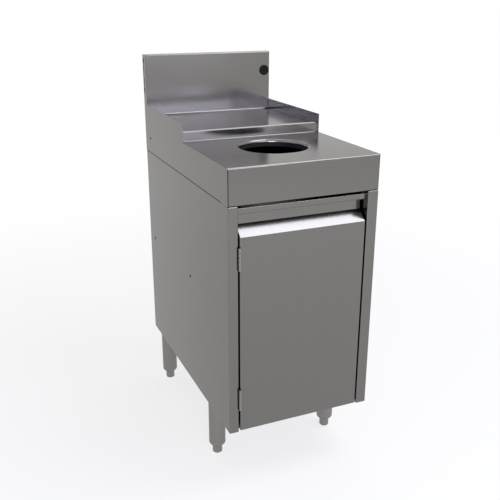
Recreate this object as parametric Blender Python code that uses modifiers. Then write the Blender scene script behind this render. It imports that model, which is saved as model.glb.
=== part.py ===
"""Underbar waste unit: a folded stainless cabinet with a waste hole, a hinged door and levelling feet.

Metres, +Z up. The front faces -Y, and the origin lies on the floor under the middle of the unit.
"""

import math

import bmesh
import bpy
from mathutils import Matrix, Vector

# Overall sizes
WIDTH = 0.3556
DEPTH = 0.6096
LEG_HEIGHT = 0.1524
CARCASS_HEIGHT = 0.5322

# Sheet metal
SHEET = 0.0012
BEND = 0.0030
TIGHT_BEND = 0.0018
BEND_STEPS = 3
SEAT = 0.0003

# Top: worktop, ledge, splashes and apron
APRON_HEIGHT = 0.0795
APRON_SETBACK = 0.0030
APRON_FLANGE = 0.0200
WORKTOP_DEPTH = 0.2890
LEDGE_RISE = 0.0177
LEDGE_LIP = 0.0069
LEDGE_LIP_WIDTH = 0.0095
SPLASH_RISE = 0.0448
SPLASH_LEAD = 0.0058
BACKSPLASH_RISE = 0.1747
BACKSPLASH_THICKNESS = 0.0254
BACKSPLASH_RETURN = 0.0300
COVER_DEPTH = 0.0045
SKIRT_FLANGE = 0.0180
SKIRT_PLAIN_EDGE = 0.0380
SKIRT_RELIEF = 0.0060

# Waste hole and the black collar under it
HOLE_RADIUS = 0.0770
HOLE_BEND = 0.0065
HOLE_EDGE = 0.0010
HOLE_REAR_LAND = 0.0360
ROUND_STEPS = 48
COLLAR_WALL = 0.0030
COLLAR_FLANGE = 0.0110
COLLAR_HEIGHT = 0.0170

# Plug in the backsplash
PLUG_HOLE_RADIUS = 0.0120
PLUG_FIT = 0.0003
PLUG_FLANGE_RADIUS = 0.0138
PLUG_FLANGE = 0.0022
PLUG_BODY = 0.0090
PLUG_WALL = 0.0020
PLUG_LAND = 0.0020
PLUG_BELOW_TOP = 0.0508

# Holes and slots that join the unit to its neighbours
JOIN_HOLE_RADIUS = 0.0040
JOIN_HEIGHT = 0.2902
JOIN_FROM_BACK = 0.0461
JOIN_SPACING = 0.3073
SLOT_FROM_BACK = 0.0085
SLOT_BELOW_TOP = 0.0157
SLOT_WIDTH = 0.0080
SLOT_LENGTH = 0.0140
SLOT_SPACING = 0.0756
LONG_SLOT_WIDTH = 0.0045
LONG_SLOT_LENGTH = 0.0245
LONG_SLOT_SPACING = 0.0306

# Stiles, rail, shelf and back of the cabinet
HINGE_STILE = 0.0227
LATCH_STILE = 0.0263
STILE_RETURN = 0.0340
RAIL_SETBACK = 0.0090
RAIL_DEPTH = 0.0380
RAIL_DROP = 0.0062
RAIL_HEIGHT = 0.0135
SHELF_HEIGHT = 0.0300
SHELF_LIFT = 0.0020
BACK_FLANGE = 0.0150

# Hinges
HINGE_HEIGHT = 0.0508
HINGE_FROM_DOOR_TOP = 0.0903
HINGE_FROM_DOOR_BOTTOM = 0.0821
HINGE_KNUCKLES = 5
KNUCKLE_GAP = 0.0003
LEAF = 0.0011
LEAF_DEPTH = 0.0240
LEAF_CLEARANCE = 0.0002
BARREL_RADIUS = 0.0035
BARREL_OFFSET = 0.0050
PIN_RADIUS = 0.0016
PIN_FIT = 0.0001
PIN_END = 0.0004
NOTCH_WIDTH = 0.0032
NOTCH_DEPTH = 0.0060
NOTCH_MARGIN = 0.0005
BARREL_STEPS = 20

# Door
DOOR_THICKNESS = 0.0300
DOOR_BOTTOM_GAP = 0.0025
DOOR_TOP_GAP = 0.0030
DOOR_LATCH_GAP = 0.0037
DOOR_END_BEND = 0.0020
LINER_FIT = 0.0008
PULL_STRIP = 0.0221
PULL_RISE = 0.0222
PULL_DEPTH = 0.0250
PULL_BEND = 0.0025
NOSE_BEND = 0.0032

# Magnetic catch
CATCH_LENGTH = 0.0460
CATCH_HEIGHT = 0.0140
CATCH_DEPTH = 0.0140
CATCH_CORNER = 0.0030
CATCH_FROM_STILE = 0.0200
POLE_WIDTH = 0.0030
POLE_LENGTH = 0.0300
POLE_DEPTH = 0.0010
STRIKE_LENGTH = 0.0400
STRIKE_HEIGHT = 0.0090
STRIKE_CORNER = 0.0020

# Bin
BIN_SIDE_CLEARANCE = 0.0157
BIN_FRONT_CLEARANCE = 0.0060
BIN_TOP_CLEARANCE = 0.0505
BIN_DEPTH = 0.3810
BIN_TAPER = 0.0220
BIN_WALL = 0.0022
BIN_CORNER = 0.0300
BIN_FOOT_BEND = 0.0080
BIN_RIM = 0.0090
BIN_RIM_DROP = 0.0120

# Legs and feet
LEG_RADIUS = 0.02065
LEG_WALL = 0.0015
LEG_SIDE_GAP = 0.0017
LEG_FROM_FRONT = 0.1520
LEG_FROM_BACK = 0.0540
LEG_STEPS = 24
LEG_LIP = 0.0005
INSERT_HEIGHT = 0.0200
SPIGOT_FIT = 0.0002
SPIGOT_LENGTH = 0.0350
SPIGOT_LAP = 0.0010
PLATE_THICKNESS = 0.0030
PLATE_LIP = 0.0008
PLATE_EAR = 0.0160
FOOT_RADIUS = 0.0120
FOOT_FIT = 0.00015
FOOT_SHOWN = 0.0235
FOOT_LENGTH = 0.0640
FOOT_CHAMFER = 0.0022

# Places worked out from the sizes above
LEFT = -WIDTH / 2
RIGHT = WIDTH / 2
FRONT = (BARREL_OFFSET + BARREL_RADIUS - DEPTH) / 2
BACK = FRONT + DEPTH
CARCASS_TOP = LEG_HEIGHT + CARCASS_HEIGHT
TOP_FOOT = CARCASS_TOP + SEAT
WORKTOP = TOP_FOOT + APRON_HEIGHT
LEDGE = WORKTOP + LEDGE_RISE
LIP_TOP = LEDGE + LEDGE_LIP
SPLASH_TOP = WORKTOP + SPLASH_RISE
BACKSPLASH_TOP = WORKTOP + BACKSPLASH_RISE
BACKSPLASH_FRONT = BACK - BACKSPLASH_THICKNESS
APRON = FRONT + APRON_SETBACK
RISER = FRONT + WORKTOP_DEPTH
LIP_BACK = RISER + LEDGE_LIP_WIDTH
SPLASH_FRONT = RISER - SPLASH_LEAD
HOLE_Y = RISER - HOLE_REAR_LAND - HOLE_RADIUS - HOLE_BEND
INNER_HALF = WIDTH / 2 - SHEET - SEAT
RAIL_TOP = CARCASS_TOP - RAIL_DROP
RAIL_FOOT = RAIL_TOP - RAIL_HEIGHT
RAIL_FRONT = FRONT + RAIL_SETBACK
RAIL_BACK = RAIL_FRONT + RAIL_DEPTH
SHELF_TOP = LEG_HEIGHT + SHELF_HEIGHT
BACK_PLANE = BACK - SHEET - SEAT
OPENING_LEFT = LEFT + HINGE_STILE
OPENING_RIGHT = RIGHT - LATCH_STILE
DOOR_HINGE_GAP = 2 * (LEAF + SEAT) + LEAF_CLEARANCE
DOOR_LEFT = OPENING_LEFT + DOOR_HINGE_GAP
DOOR_RIGHT = OPENING_RIGHT - DOOR_LATCH_GAP
DOOR_BOTTOM = LEG_HEIGHT + DOOR_BOTTOM_GAP
DOOR_TOP = RAIL_FOOT - DOOR_TOP_GAP
DOOR_BACK = FRONT + DOOR_THICKNESS
PULL_BACK = FRONT + PULL_DEPTH
PULL_FOOT = DOOR_TOP - PULL_STRIP
NOSE = PULL_FOOT - PULL_RISE
HINGE_X = DOOR_LEFT - DOOR_HINGE_GAP / 2
HINGE_Y = FRONT - BARREL_OFFSET
HINGE_HEIGHTS = {
    "upper": DOOR_TOP - HINGE_FROM_DOOR_TOP,
    "lower": DOOR_BOTTOM + HINGE_FROM_DOOR_BOTTOM,
}
LEG_X = INNER_HALF - SHEET - LEG_SIDE_GAP - LEG_RADIUS
LEG_PLACES = {
    "front_left": (-LEG_X, FRONT + LEG_FROM_FRONT),
    "front_right": (LEG_X, FRONT + LEG_FROM_FRONT),
    "rear_left": (-LEG_X, BACK - LEG_FROM_BACK),
    "rear_right": (LEG_X, BACK - LEG_FROM_BACK),
}

# Meshes closer than this are one point, and faces flatter than this are one face
WELD = 1e-6
FLAT = math.radians(0.2)
CUT_MARGIN = 0.0020
SMOOTH_ANGLE = math.radians(35)

# An outline drawn in Y and Z that is extruded along X, and one drawn in X and Z extruded along -Y
ALONG_X = Matrix(((0, 0, 1, 0), (1, 0, 0, 0), (0, 1, 0, 0), (0, 0, 0, 1)))
ALONG_Y = Matrix(((1, 0, 0, 0), (0, 0, -1, 0), (0, 1, 0, 0), (0, 0, 0, 1)))

# Colour, roughness and metallic value of each finish
FINISHES = {
    "satin_steel": ((0.52, 0.51, 0.50, 1), 0.34, 1.0),
    "leg_steel": ((0.50, 0.49, 0.48, 1), 0.38, 1.0),
    "hinge_steel": ((0.55, 0.54, 0.53, 1), 0.28, 1.0),
    "black_rubber": ((0.012, 0.012, 0.013, 1), 0.60, 0.0),
    "black_plastic": ((0.015, 0.015, 0.016, 1), 0.42, 0.0),
    "bin_plastic": ((0.020, 0.020, 0.021, 1), 0.55, 0.0),
}


def clear_scene():
    for old in list(bpy.data.objects):
        bpy.data.objects.remove(old, do_unlink=True)


def new_collection(name):
    collection = bpy.data.collections.new(name)
    bpy.context.scene.collection.children.link(collection)
    return collection


clear_scene()
PARTS = new_collection("underbar_unit")
CUTTERS = new_collection("cutters")


def finish(name, kind):
    """A material for one piece."""
    colour, roughness, metallic = FINISHES[kind]
    material = bpy.data.materials.new(name + "_" + kind)
    material.use_nodes = True
    shader = material.node_tree.nodes["Principled BSDF"]
    shader.inputs["Base Color"].default_value = colour
    shader.inputs["Roughness"].default_value = roughness
    shader.inputs["Metallic"].default_value = metallic
    return material


def add_piece(name, bm, kind, origin=(0, 0, 0)):
    """A part made of the bmesh, with its origin at the given point of the world."""
    bm.transform(Matrix.Translation(-Vector(origin)))
    mesh = bpy.data.meshes.new(name)
    bm.to_mesh(mesh)
    bm.free()
    mesh.shade_smooth()
    mesh.set_sharp_from_angle(angle=SMOOTH_ANGLE)
    mesh.materials.append(finish(name, kind))
    piece = bpy.data.objects.new(name, mesh)
    piece.location = origin
    PARTS.objects.link(piece)
    return piece


def add_cutter(name, bm):
    mesh = bpy.data.meshes.new(name)
    bm.to_mesh(mesh)
    bm.free()
    cutter = bpy.data.objects.new(name, mesh)
    cutter.hide_render = True
    cutter.display_type = "WIRE"
    CUTTERS.objects.link(cutter)
    return cutter


def combine(piece, other, operation):
    modifier = piece.modifiers.new(operation.lower() + "_" + other.name, "BOOLEAN")
    modifier.object = other
    modifier.operation = operation
    modifier.solver = "EXACT"


def thicken(piece, thickness=SHEET):
    """Gives an open surface its thickness, behind the faces that show."""
    modifier = piece.modifiers.new("sheet", "SOLIDIFY")
    modifier.thickness = thickness
    modifier.offset = -1
    modifier.use_even_offset = True


def add_box(bm, low, high):
    low = Vector(low)
    size = Vector(high) - low
    for vert in bmesh.ops.create_cube(bm, size=1)["verts"]:
        vert.co = Vector(low[i] + (vert.co[i] + 0.5) * size[i] for i in range(3))


def new_box(low, high):
    bm = bmesh.new()
    add_box(bm, low, high)
    bm.normal_update()
    return bm


def open_side(bm, direction):
    """Deletes the faces that look in the given direction."""
    bm.normal_update()
    gone = [face for face in bm.faces if face.normal.dot(Vector(direction)) > 0.99]
    bmesh.ops.delete(bm, geom=gone, context="FACES")


def folds(bm):
    """The edges where two faces meet at an angle."""
    bm.normal_update()
    return [edge for edge in bm.edges if len(edge.link_faces) == 2 and edge.calc_face_angle() > FLAT]


def bend(bm, edges, radius):
    bmesh.ops.bevel(
        bm, geom=edges, offset=radius, offset_type="OFFSET", segments=BEND_STEPS, profile=0.5, affect="EDGES"
    )


def rounded_outline(corners):
    """Points of a closed outline whose corners, each (a, b, radius), are rounded by arcs."""
    points = []
    count = len(corners)
    for i, (a, b, radius) in enumerate(corners):
        corner = Vector((a, b))
        if not radius:
            points.append(corner)
            continue
        behind = (Vector(corners[i - 1][:2]) - corner).normalized()
        ahead = (Vector(corners[(i + 1) % count][:2]) - corner).normalized()
        half = behind.angle(ahead) / 2
        centre = corner + (behind + ahead).normalized() * radius / math.sin(half)
        start = corner + behind * radius / math.tan(half) - centre
        end = corner + ahead * radius / math.tan(half) - centre
        turn = math.atan2(start.x * end.y - start.y * end.x, start.dot(end))
        for step in range(BEND_STEPS + 1):
            spoke = Matrix.Rotation(turn * step / BEND_STEPS, 2) @ start
            points.append(centre + spoke)
    return points


def arc(radius, first, last, steps, centre=(0, 0)):
    """Points along an arc, between two angles in radians."""
    angles = [first + (last - first) * i / steps for i in range(steps + 1)]
    return [(centre[0] + radius * math.cos(a), centre[1] + radius * math.sin(a)) for a in angles]


def filled_outline(outlines, thickness, placing):
    """A flat outline, with its holes, extruded to both sides and put in place."""
    curve = bpy.data.curves.new("outline", "CURVE")
    curve.dimensions = "2D"
    curve.fill_mode = "BOTH"
    curve.extrude = thickness / 2
    for points in outlines:
        spline = curve.splines.new("POLY")
        spline.points.add(len(points) - 1)
        spline.use_cyclic_u = True
        for point, (a, b) in zip(spline.points, points):
            point.co = (a, b, 0, 1)
    drawn = bpy.data.objects.new("outline", curve)
    CUTTERS.objects.link(drawn)
    mesh = bpy.data.meshes.new_from_object(drawn.evaluated_get(bpy.context.evaluated_depsgraph_get()))
    bm = bmesh.new()
    bm.from_mesh(mesh)
    bpy.data.objects.remove(drawn)
    bpy.data.curves.remove(curve)
    bpy.data.meshes.remove(mesh)
    bmesh.ops.remove_doubles(bm, verts=bm.verts, dist=WELD)
    bmesh.ops.dissolve_limit(bm, angle_limit=FLAT, verts=bm.verts, edges=bm.edges)
    bm.transform(placing)
    if thickness:
        bmesh.ops.recalc_face_normals(bm, faces=bm.faces)
    return bm


def turn_profile(piece, steps):
    modifier = piece.modifiers.new("turned", "SCREW")
    modifier.steps = steps
    modifier.render_steps = steps
    modifier.use_merge_vertices = True
    modifier.merge_threshold = WELD


def profile_mesh(points, closed):
    """Edges through the points (radius, height) of a turned profile."""
    bm = bmesh.new()
    verts = [bm.verts.new((radius, 0, height)) for radius, height in points]
    pairs = list(zip(verts, verts[1:]))
    if closed:
        pairs.append((verts[-1], verts[0]))
    for pair in pairs:
        bm.edges.new(pair)
    return bm


def add_turned(name, points, kind, place, steps, closed):
    """A turned piece that stands at the given place."""
    piece = add_piece(name, profile_mesh(points, closed), kind)
    piece.location = place
    turn_profile(piece, steps)
    return piece


def round_cutter(name, centre, axis, radius, length, steps):
    bm = bmesh.new()
    bmesh.ops.create_cone(bm, cap_ends=True, segments=steps, radius1=radius, radius2=radius, depth=length)
    turn = Vector((0, 0, 1)).rotation_difference(Vector(axis)).to_matrix().to_4x4()
    bm.transform(Matrix.Translation(centre) @ turn)
    return add_cutter(name, bm)


def join_hole(name, centre):
    """Cutter for a hole that takes a bolt to the next unit."""
    return round_cutter(name, centre, (1, 0, 0), JOIN_HOLE_RADIUS, 4 * CUT_MARGIN, BARREL_STEPS)


def add_pan(name, low, high, open_sides, radius):
    """A folded tray: a box with some sides left open, its folds bent round."""
    bm = new_box(low, high)
    for direction in open_sides:
        open_side(bm, direction)
    bend(bm, folds(bm), radius)
    piece = add_piece(name, bm, "satin_steel")
    thicken(piece)
    return piece


def add_side_panel(name, side, inner):
    """A cabinet side, folded into its stile, the stile's return, a top flange and a rear flange."""
    outer = side * WIDTH / 2
    low = (min(outer, inner), FRONT, LEG_HEIGHT)
    high = (max(outer, inner), BACK, CARCASS_TOP)
    bm = new_box(low, high)
    open_side(bm, (0, 0, -1))
    return_end = FRONT + STILE_RETURN
    geometry = bm.verts[:] + bm.edges[:] + bm.faces[:]
    bmesh.ops.bisect_plane(bm, geom=geometry, plane_co=(0, return_end, 0), plane_no=(0, 1, 0))
    bm.normal_update()
    gone = [
        face
        for face in bm.faces
        if face.normal.x * side < -0.99 and face.calc_center_median().y > return_end
    ]
    bmesh.ops.delete(bm, geom=gone, context="FACES")
    bmesh.ops.dissolve_limit(bm, angle_limit=FLAT, verts=bm.verts, edges=bm.edges)
    upright = [edge for edge in folds(bm) if abs(edge.verts[0].co.z - edge.verts[1].co.z) > CUT_MARGIN]
    bend(bm, upright, BEND)
    rim = [edge for edge in folds(bm) if all(vert.co.z > CARCASS_TOP - WELD for vert in edge.verts)]
    bend(bm, rim, TIGHT_BEND)
    panel = add_piece(name, bm, "satin_steel")
    thicken(panel)
    for i in range(2):
        centre = (outer, BACK - JOIN_FROM_BACK - i * JOIN_SPACING, LEG_HEIGHT + JOIN_HEIGHT)
        combine(panel, join_hole(f"{name}_join_{i}", centre), "DIFFERENCE")
    return panel


def cut_hinge_notches(panel):
    """Notches in the edge of the hinge stile, where the leaves reach round to the barrels."""
    bm = bmesh.new()
    reach = HINGE_HEIGHT / 2 + NOTCH_MARGIN
    for height in HINGE_HEIGHTS.values():
        low = (OPENING_LEFT - NOTCH_WIDTH, FRONT - CUT_MARGIN, height - reach)
        high = (OPENING_LEFT + CUT_MARGIN, FRONT + NOTCH_DEPTH, height + reach)
        add_box(bm, low, high)
    combine(panel, add_cutter("hinge_notches", bm), "DIFFERENCE")


def add_carcass():
    """Cabinet sides, shelf, back and front rail."""
    cut_hinge_notches(add_side_panel("side_panel_left", -1, OPENING_LEFT))
    add_side_panel("side_panel_right", 1, OPENING_RIGHT)
    add_pan(
        "shelf_pan",
        (-INNER_HALF, FRONT + STILE_RETURN + SEAT, LEG_HEIGHT + SHELF_LIFT),
        (INNER_HALF, BACK_PLANE, SHELF_TOP),
        [(0, 0, -1)],
        BEND,
    )
    add_pan(
        "back_panel",
        (-INNER_HALF, BACK_PLANE - BACK_FLANGE, SHELF_TOP + SEAT),
        (INNER_HALF, BACK_PLANE, CARCASS_TOP - SHEET - SEAT),
        [(0, -1, 0)],
        BEND,
    )
    add_pan(
        "top_rail",
        (OPENING_LEFT + SEAT, RAIL_FRONT, RAIL_FOOT),
        (OPENING_RIGHT - SEAT, RAIL_BACK, RAIL_TOP),
        [(0, 1, 0), (1, 0, 0), (-1, 0, 0)],
        TIGHT_BEND,
    )


def deck_section():
    """The deck's section in Y and Z, from the back of the backsplash to the apron's flange."""
    return [
        (BACK, BACKSPLASH_TOP - BACKSPLASH_RETURN),
        (BACK, BACKSPLASH_TOP),
        (BACKSPLASH_FRONT, BACKSPLASH_TOP),
        (BACKSPLASH_FRONT, LEDGE),
        (LIP_BACK, LEDGE),
        (LIP_BACK, LIP_TOP),
        (RISER, LIP_TOP),
        (RISER, WORKTOP),
        (APRON, WORKTOP),
        (APRON, TOP_FOOT),
        (APRON + APRON_FLANGE, TOP_FOOT),
    ]


def extrude_edges(bm, edges, vec=(0, 0, 0)):
    """Extrudes the edges along a vector and returns their new vertices."""
    made = bmesh.ops.extrude_edge_only(bm, edges=edges)["geom"]
    verts = [item for item in made if isinstance(item, bmesh.types.BMVert)]
    bmesh.ops.translate(bm, verts=verts, vec=vec)
    return verts


def face_nearest(bm, point):
    return min(bm.faces, key=lambda face: (face.calc_center_median() - Vector(point)).length)


def face_outward(bm, point, direction):
    """Turns the whole surface over if the face nearest the point looks the wrong way."""
    bm.normal_update()
    if face_nearest(bm, point).normal.dot(Vector(direction)) < 0:
        bmesh.ops.reverse_faces(bm, faces=bm.faces)


def deck_surface():
    """The surface of the deck that shows: the folded strip, with the waste hole drawn down into a lip."""
    bm = bmesh.new()
    verts = [bm.verts.new((-INNER_HALF, y, z)) for y, z in deck_section()]
    edges = [bm.edges.new(pair) for pair in zip(verts, verts[1:])]
    extrude_edges(bm, edges, (2 * INNER_HALF, 0, 0))
    middle = (0, (APRON + RISER) / 2, WORKTOP)
    face_outward(bm, middle, (0, 0, 1))
    bend(bm, [edge for edge in folds(bm) if not is_tight(edge)], BEND)
    bend(bm, [edge for edge in folds(bm) if is_tight(edge)], TIGHT_BEND)
    plain = face_nearest(bm, middle)
    border = [vert.co.to_2d() for vert in plain.verts]
    bmesh.ops.delete(bm, geom=[plain], context="FACES_ONLY")
    hole = arc(HOLE_RADIUS, 0, 2 * math.pi, ROUND_STEPS, (0, HOLE_Y))[:-1]
    worktop = filled_outline([border, hole], 0, Matrix.Translation((0, 0, WORKTOP)))
    face_outward(worktop, middle, (0, 0, 1))
    merge(bm, worktop)
    rim = [edge for edge in bm.edges if edge.is_boundary and all(on_hole(vert) for vert in edge.verts)]
    extrude_edges(bm, rim, (0, 0, -HOLE_BEND - HOLE_EDGE))
    bend(bm, [edge for edge in folds(bm) if all(on_hole(vert) for vert in edge.verts)], HOLE_BEND)
    return bm


def is_tight(edge):
    """Whether a fold of the deck is a sharp one: the apron's foot or the back of the ledge's lip."""
    return all(vert.co.z < TOP_FOOT + WELD or abs(vert.co.y - LIP_BACK) < WELD for vert in edge.verts)


def on_hole(vert):
    """Whether a vertex lies on the upper edge of the waste hole."""
    across = math.hypot(vert.co.x, vert.co.y - HOLE_Y)
    return abs(across - HOLE_RADIUS) < WELD and abs(vert.co.z - WORKTOP) < WELD


def merge(bm, other):
    """Adds another surface and welds the two where they meet."""
    mesh = bpy.data.meshes.new("merged")
    other.to_mesh(mesh)
    other.free()
    bm.from_mesh(mesh)
    bpy.data.meshes.remove(mesh)
    bmesh.ops.remove_doubles(bm, verts=bm.verts, dist=WELD)


def add_deck():
    """Deck with the waste hole and the hole for the plug."""
    deck = add_piece("deck_sheet", deck_surface(), "satin_steel")
    thicken(deck)
    drill = round_cutter("plug_hole", plug_place(), (0, 1, 0), PLUG_HOLE_RADIUS, 4 * CUT_MARGIN, LEG_STEPS)
    combine(deck, drill, "DIFFERENCE")


def plug_place():
    x = INNER_HALF - PLUG_LAND - PLUG_HOLE_RADIUS
    return (x, BACKSPLASH_FRONT, BACKSPLASH_TOP - PLUG_BELOW_TOP)


def skirt_surface(side):
    """The outer face of an end plate, with its bottom edge folded in to the flange it stands on."""
    outer = side * WIDTH / 2
    outline = [
        (APRON, TOP_FOOT),
        (BACK, TOP_FOOT),
        (BACK, BACKSPLASH_TOP),
        (BACKSPLASH_FRONT, BACKSPLASH_TOP),
        (BACKSPLASH_FRONT, SPLASH_TOP),
        (SPLASH_FRONT, SPLASH_TOP),
        (SPLASH_FRONT, WORKTOP),
        (APRON, WORKTOP),
    ]
    bm = filled_outline([outline], 0, Matrix.Translation((outer, 0, 0)) @ ALONG_X)
    face_outward(bm, (outer, 0, 0), (side, 0, 0))
    start = APRON + SKIRT_PLAIN_EDGE
    end = BACK - COVER_DEPTH - SKIRT_RELIEF
    for y in (start, end):
        geometry = bm.verts[:] + bm.edges[:] + bm.faces[:]
        bmesh.ops.bisect_plane(bm, geom=geometry, plane_co=(0, y, 0), plane_no=(0, 1, 0))
    middle = Vector((outer, (start + end) / 2, TOP_FOOT))
    foot = min(bm.edges, key=lambda edge: ((edge.verts[0].co + edge.verts[1].co) / 2 - middle).length)
    extrude_edges(bm, [foot], (-side * SKIRT_FLANGE, 0, 0))
    bend(bm, folds(bm), BEND)
    return bm


def add_end_skirt(name, side):
    """An end plate of the top: skirt, side splash and end of the backsplash in one."""
    outer = side * WIDTH / 2
    skirt = add_piece(name, skirt_surface(side), "satin_steel")
    thicken(skirt)
    centre = (outer, BACK - JOIN_FROM_BACK, TOP_FOOT + APRON_HEIGHT / 2)
    combine(skirt, join_hole(name + "_join", centre), "DIFFERENCE")
    slot_y = BACK - SLOT_FROM_BACK
    middle = BACKSPLASH_TOP - SLOT_BELOW_TOP - SLOT_SPACING / 2
    for end in (-1, 1):
        short = slot_outline(slot_y, middle + end * SLOT_SPACING / 2, SLOT_WIDTH, SLOT_LENGTH)
        long = slot_outline(slot_y, middle + end * LONG_SLOT_SPACING / 2, LONG_SLOT_WIDTH, LONG_SLOT_LENGTH)
        for outline in (short, long):
            bm = filled_outline([outline], 4 * CUT_MARGIN, Matrix.Translation((outer, 0, 0)) @ ALONG_X)
            combine(skirt, add_cutter(name + "_slot", bm), "DIFFERENCE")


def slot_outline(y, z, width, length):
    """An upright slot with round ends, about its middle."""
    reach = (length - width) / 2
    upper = arc(width / 2, 0, math.pi, BEND_STEPS * 2, (y, z + reach))
    lower = arc(width / 2, math.pi, 2 * math.pi, BEND_STEPS * 2, (y, z - reach))
    return upper + lower


def add_top():
    add_deck()
    add_end_skirt("end_skirt_left", -1)
    add_end_skirt("end_skirt_right", 1)
    add_pan(
        "backsplash_back",
        (-INNER_HALF, BACK - COVER_DEPTH, TOP_FOOT),
        (INNER_HALF, BACK, BACKSPLASH_TOP - BACKSPLASH_RETURN - SEAT),
        [(0, -1, 0)],
        TIGHT_BEND,
    )


def add_collar():
    """Black ring that hangs round the lip, under the deck."""
    flat = HOLE_RADIUS + HOLE_BEND
    inner = HOLE_RADIUS + SHEET + SEAT
    outer = inner + COLLAR_WALL
    flange = flat + COLLAR_FLANGE
    top = -SHEET - SEAT
    profile = arc(flat - inner, math.pi, math.pi / 2, BEND_STEPS, (flat, -HOLE_BEND))
    profile += [
        (flange, top),
        (flange, top - COLLAR_WALL),
        (outer, top - COLLAR_WALL),
        (outer, -COLLAR_HEIGHT),
        (inner, -COLLAR_HEIGHT),
    ]
    add_turned("chute_collar", profile, "black_rubber", (0, HOLE_Y, WORKTOP), ROUND_STEPS, closed=True)


def add_plug():
    """Snap-in plug: a domed flange in front of the backsplash and a hollow body in its hole."""
    body = PLUG_HOLE_RADIUS - PLUG_FIT
    rim = PLUG_FLANGE / 2
    profile = [(0, PLUG_FLANGE)]
    profile += arc(rim, math.pi / 2, 0, BEND_STEPS, (PLUG_FLANGE_RADIUS - rim, rim))
    profile += [
        (PLUG_FLANGE_RADIUS, 0),
        (body, 0),
        (body, -PLUG_BODY),
        (body - PLUG_WALL, -PLUG_BODY),
        (body - PLUG_WALL, 0),
        (0, 0),
    ]
    x, y, z = plug_place()
    plug = add_turned("hole_plug", profile, "black_plastic", (x, y - SEAT, z), LEG_STEPS, closed=False)
    plug.rotation_euler.x = math.pi / 2


def add_bin():
    """Tapered bin with a rolled rim, standing on the shelf."""
    rim = BIN_RIM + BIN_WALL
    half = OPENING_RIGHT - BIN_SIDE_CLEARANCE - rim
    front = RAIL_BACK + BIN_FRONT_CLEARANCE + rim
    back = front + BIN_DEPTH - 2 * rim
    foot = SHELF_TOP + SEAT
    top = RAIL_FOOT - BIN_TOP_CLEARANCE - BIN_WALL
    middle = Vector((0, (front + back) / 2, 0))
    bm = new_box((-half, front, foot), (half, back, top))
    for vert in bm.verts:
        if vert.co.z < foot + WELD:
            vert.co.x -= math.copysign(BIN_TAPER, vert.co.x)
            vert.co.y -= math.copysign(BIN_TAPER, vert.co.y - middle.y)
    open_side(bm, (0, 0, 1))
    corners = [edge for edge in folds(bm) if abs(edge.verts[0].co.z - edge.verts[1].co.z) > CUT_MARGIN]
    bend(bm, corners, BIN_CORNER)
    floor_edges = [edge for edge in folds(bm) if all(vert.co.z < foot + WELD for vert in edge.verts)]
    bend(bm, floor_edges, BIN_FOOT_BEND)
    out_x = 1 + BIN_RIM / half
    out_y = 1 + 2 * BIN_RIM / (back - front)
    brim = extrude_edges(bm, [edge for edge in bm.edges if edge.is_boundary])
    bmesh.ops.scale(bm, verts=brim, vec=(out_x, out_y, 1), space=Matrix.Translation(-middle))
    rolled = extrude_edges(bm, [edge for edge in bm.edges if edge.is_boundary])
    bmesh.ops.translate(bm, verts=rolled, vec=(0, 0, -BIN_RIM_DROP))
    bin_piece = add_piece("waste_bin", bm, "bin_plastic")
    thicken(bin_piece, BIN_WALL)


def add_door(axis):
    """Door skin with its sloped finger pull, the liner behind it and the strike of the catch."""
    outline = rounded_outline(
        [
            (DOOR_BACK, DOOR_TOP, 0),
            (PULL_BACK, DOOR_TOP, 0),
            (PULL_BACK, PULL_FOOT, PULL_BEND),
            (FRONT, NOSE, NOSE_BEND),
            (FRONT, DOOR_BOTTOM, BEND),
            (DOOR_BACK, DOOR_BOTTOM, 0),
        ]
    )
    placing = Matrix.Translation(((DOOR_LEFT + DOOR_RIGHT) / 2, 0, 0)) @ ALONG_X
    bm = filled_outline([outline], DOOR_RIGHT - DOOR_LEFT, placing)
    open_side(bm, (0, 1, 0))
    ends = [edge for edge in folds(bm) if abs(edge.verts[0].co.x - edge.verts[1].co.x) < WELD]
    bend(bm, ends, DOOR_END_BEND)
    skin = add_piece("door_skin", bm, "satin_steel", axis.location)
    thicken(skin)
    inset = SHEET + LINER_FIT
    bm = new_box(
        (DOOR_LEFT + inset, PULL_BACK + SHEET + SEAT, DOOR_BOTTOM + SHEET + SEAT),
        (DOOR_RIGHT - inset, DOOR_BACK, DOOR_TOP - SHEET - SEAT),
    )
    open_side(bm, (0, -1, 0))
    bend(bm, folds(bm), TIGHT_BEND)
    liner = add_piece("door_liner", bm, "satin_steel", axis.location)
    thicken(liner)
    strike = add_piece("catch_strike", strike_plate(), "hinge_steel", axis.location)
    for piece in (skin, liner, strike):
        hang(piece, axis)


def hang(piece, axis):
    """Parents a piece of the door to the empty on the hinge axis."""
    piece.parent = axis
    piece.location = (0, 0, 0)


def catch_middle():
    x = OPENING_RIGHT - CATCH_FROM_STILE - CATCH_LENGTH / 2
    return x, RAIL_FOOT - SEAT - CATCH_HEIGHT / 2


def rounded_plate(x, z, length, height, corner):
    low_x, high_x = x - length / 2, x + length / 2
    low_z, high_z = z - height / 2, z + height / 2
    places = ((low_x, low_z), (high_x, low_z), (high_x, high_z), (low_x, high_z))
    return rounded_outline([(a, b, corner) for a, b in places])


def strike_plate():
    x, _ = catch_middle()
    z = DOOR_TOP - SHEET - SEAT - TIGHT_BEND - STRIKE_HEIGHT / 2
    y = DOOR_BACK + SEAT + SHEET / 2
    outline = rounded_plate(x, z, STRIKE_LENGTH, STRIKE_HEIGHT, STRIKE_CORNER)
    return filled_outline([outline], SHEET, Matrix.Translation((0, y, 0)) @ ALONG_Y)


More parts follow.
